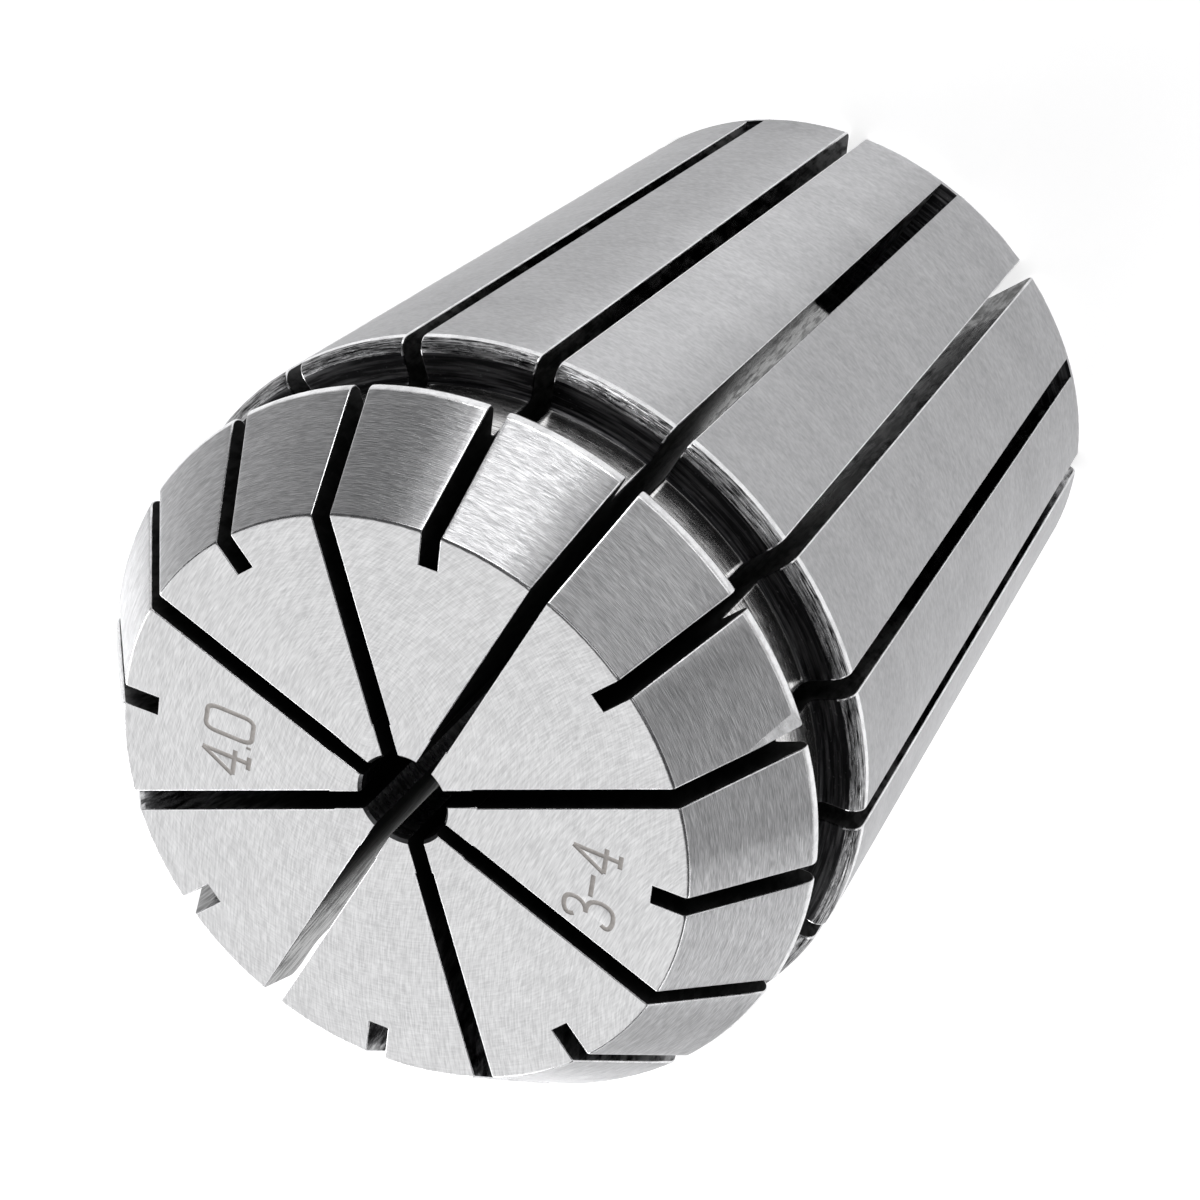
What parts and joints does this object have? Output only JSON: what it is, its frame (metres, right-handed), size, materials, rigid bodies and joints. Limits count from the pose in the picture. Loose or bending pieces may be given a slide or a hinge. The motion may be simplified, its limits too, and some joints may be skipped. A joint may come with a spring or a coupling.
{
  "type": "spring collet",
  "caption": "One-piece double-slit spring collet with a long taper seat, an extraction groove, a short nose cone and a small gripping bore.",
  "frame": {"origin": "centre of the back face, the small end, which it stands on", "axes": "+Z along the bore from the back face to the front face; one front slot lies along each of the X and Y axes"},
  "size_m": [0.033, 0.033, 0.04],
  "materials": {
    "ground_steel": "hardened steel, fine ground seat and face, turned groove, sawn slots"
  },
  "bodies": {
    "root": {"collet": "ground_steel"}
  },
  "joints": []
}
